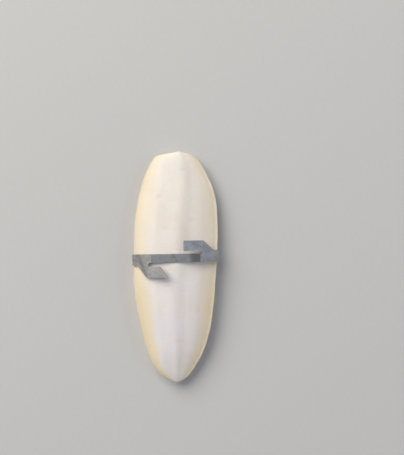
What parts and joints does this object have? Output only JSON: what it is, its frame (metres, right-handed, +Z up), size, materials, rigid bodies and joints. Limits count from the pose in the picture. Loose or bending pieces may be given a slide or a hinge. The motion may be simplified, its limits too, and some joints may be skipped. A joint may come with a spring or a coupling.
{
  "type": "cuttlebone",
  "caption": "Whole cuttlebone lying on its belly, ribbed back up, held round the middle by a stamped steel clip whose hooks hang it on a bird cage's wires.",
  "frame": {"origin": "on the surface that the bone lies on, under the middle of the whole", "axes": "+Y along the bone towards its blunt hind end, +Z up out of its ribbed back, +X across it to the right"},
  "size_m": [0.051, 0.1354, 0.0235],
  "materials": {
    "shell": "matte",
    "clip_steel": "satin"
  },
  "bodies": {
    "root": {"cuttlebone": "shell", "holder_clip": "clip_steel"}
  },
  "joints": []
}
